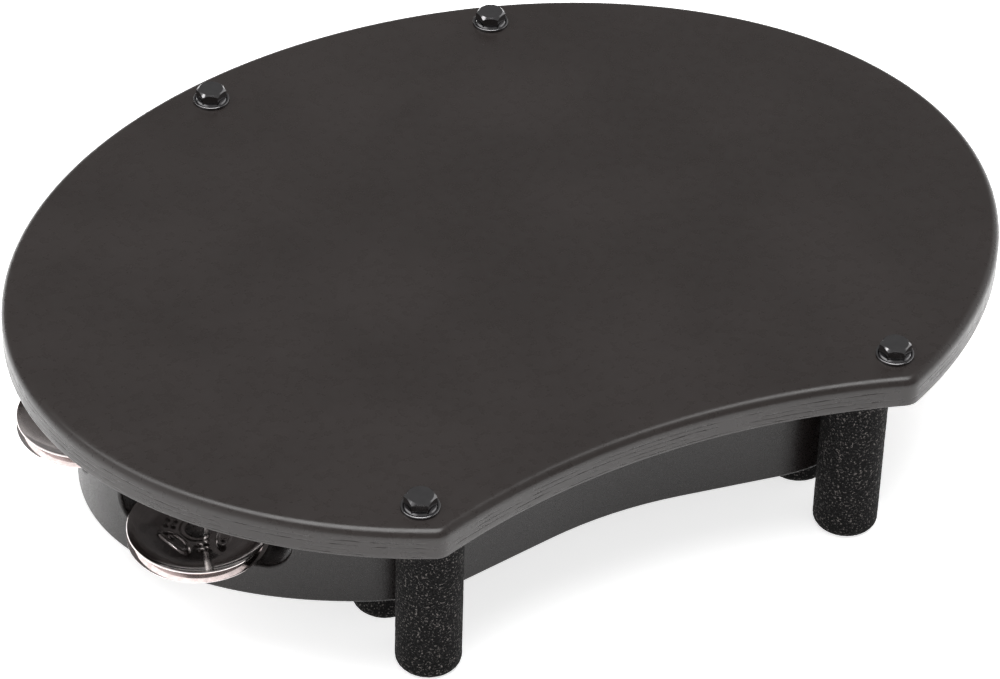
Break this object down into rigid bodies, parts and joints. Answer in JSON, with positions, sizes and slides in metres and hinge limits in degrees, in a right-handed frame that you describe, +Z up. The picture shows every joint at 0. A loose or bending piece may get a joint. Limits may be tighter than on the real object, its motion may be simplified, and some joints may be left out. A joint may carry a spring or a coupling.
{
  "type": "tambourine",
  "caption": "Table-top tambourine: a crescent jingle ring gripped by foam-covered legs under a black playing board with a hollow front edge.",
  "frame": {"origin": "on the floor, under the middle of the board's bounding box", "axes": "+X to the right, the object is symmetric about X = 0; +Y to the rear, away from the hollow edge; +Z up"},
  "size_m": [0.38, 0.2838, 0.0865],
  "materials": {
    "black_board": "plywood painted satin black",
    "frame_plastic": "moulded ABS, fine texture, satin",
    "foam_rubber": "closed-cell foam rubber, granular skin",
    "jingle_steel": "bright nickel-plated steel",
    "pin_steel": "plain bright steel",
    "black_chrome": "black nickel plating",
    "zinc_screw": "zinc plated",
    "plate_steel": "black powder coat",
    "rod_steel": "bright drawn steel"
  },
  "bodies": {
    "board_stand": {"top_board": "black_board", "leg_plate_front_left": "plate_steel", "leg_plate_rear_left": "plate_steel", "leg_plate_front_right": "plate_steel", "leg_plate_rear_right": "plate_steel", "leg_rod_front_left_outer": "rod_steel", "foam_sleeve_front_left_outer": "foam_rubber", "leg_rod_front_left_inner": "rod_steel", "foam_sleeve_front_left_inner": "foam_rubber", "leg_rod_rear_left_outer": "rod_steel", "foam_sleeve_rear_left_outer": "foam_rubber", "leg_rod_rear_left_inner": "rod_steel", "foam_sleeve_rear_left_inner": "foam_rubber", "leg_rod_front_right_outer": "rod_steel", "foam_sleeve_front_right_outer": "foam_rubber", "leg_rod_front_right_inner": "rod_steel", "foam_sleeve_front_right_inner": "foam_rubber", "leg_rod_rear_right_outer": "rod_steel", "foam_sleeve_rear_right_outer": "foam_rubber", "leg_rod_rear_right_inner": "rod_steel", "foam_sleeve_rear_right_inner": "foam_rubber", "rod_screws": "zinc_screw", "board_screws": "zinc_screw", "dished_washers": "black_chrome", "flange_bolts": "black_chrome"},
    "jingle_ring": {"tambourine_frame": "frame_plastic", "jingle_pins": "pin_steel"},
    "lower_jingle_1": {"jingle_1_lower": "jingle_steel"},
    "upper_jingle_1": {"jingle_1_upper": "jingle_steel"},
    "lower_jingle_2": {"jingle_2_lower": "jingle_steel"},
    "upper_jingle_2": {"jingle_2_upper": "jingle_steel"},
    "lower_jingle_3": {"jingle_3_lower": "jingle_steel"},
    "upper_jingle_3": {"jingle_3_upper": "jingle_steel"},
    "lower_jingle_4": {"jingle_4_lower": "jingle_steel"},
    "upper_jingle_4": {"jingle_4_upper": "jingle_steel"},
    "lower_jingle_5": {"jingle_5_lower": "jingle_steel"},
    "upper_jingle_5": {"jingle_5_upper": "jingle_steel"},
    "lower_jingle_6": {"jingle_6_lower": "jingle_steel"},
    "upper_jingle_6": {"jingle_6_upper": "jingle_steel"},
    "lower_jingle_7": {"jingle_7_lower": "jingle_steel"},
    "upper_jingle_7": {"jingle_7_upper": "jingle_steel"}
  },
  "joints": [
    {"name": "ring_slide", "type": "slide", "parent": "board_stand", "child": "jingle_ring", "axis": [0, 0, -1], "range_m": [0, 0.017]},
    {"name": "lower_jingle_1_slide", "type": "slide", "parent": "jingle_ring", "child": "lower_jingle_1", "axis": [0, 0, 1], "range_m": [0, 0.006]},
    {"name": "upper_jingle_1_slide", "type": "slide", "parent": "lower_jingle_1", "child": "upper_jingle_1", "axis": [0, 0, 1], "range_m": [0, 0.0048]},
    {"name": "lower_jingle_2_slide", "type": "slide", "parent": "jingle_ring", "child": "lower_jingle_2", "axis": [0, 0, 1], "range_m": [0, 0.006]},
    {"name": "upper_jingle_2_slide", "type": "slide", "parent": "lower_jingle_2", "child": "upper_jingle_2", "axis": [0, 0, 1], "range_m": [0, 0.0048]},
    {"name": "lower_jingle_3_slide", "type": "slide", "parent": "jingle_ring", "child": "lower_jingle_3", "axis": [0, 0, 1], "range_m": [0, 0.006]},
    {"name": "upper_jingle_3_slide", "type": "slide", "parent": "lower_jingle_3", "child": "upper_jingle_3", "axis": [0, 0, 1], "range_m": [0, 0.0048]},
    {"name": "lower_jingle_4_slide", "type": "slide", "parent": "jingle_ring", "child": "lower_jingle_4", "axis": [0, 0, 1], "range_m": [0, 0.006]},
    {"name": "upper_jingle_4_slide", "type": "slide", "parent": "lower_jingle_4", "child": "upper_jingle_4", "axis": [0, 0, 1], "range_m": [0, 0.0048]},
    {"name": "lower_jingle_5_slide", "type": "slide", "parent": "jingle_ring", "child": "lower_jingle_5", "axis": [0, 0, 1], "range_m": [0, 0.006]},
    {"name": "upper_jingle_5_slide", "type": "slide", "parent": "lower_jingle_5", "child": "upper_jingle_5", "axis": [0, 0, 1], "range_m": [0, 0.0048]},
    {"name": "lower_jingle_6_slide", "type": "slide", "parent": "jingle_ring", "child": "lower_jingle_6", "axis": [0, 0, 1], "range_m": [0, 0.006]},
    {"name": "upper_jingle_6_slide", "type": "slide", "parent": "lower_jingle_6", "child": "upper_jingle_6", "axis": [0, 0, 1], "range_m": [0, 0.0048]},
    {"name": "lower_jingle_7_slide", "type": "slide", "parent": "jingle_ring", "child": "lower_jingle_7", "axis": [0, 0, 1], "range_m": [0, 0.006]},
    {"name": "upper_jingle_7_slide", "type": "slide", "parent": "lower_jingle_7", "child": "upper_jingle_7", "axis": [0, 0, 1], "range_m": [0, 0.0048]}
  ]
}
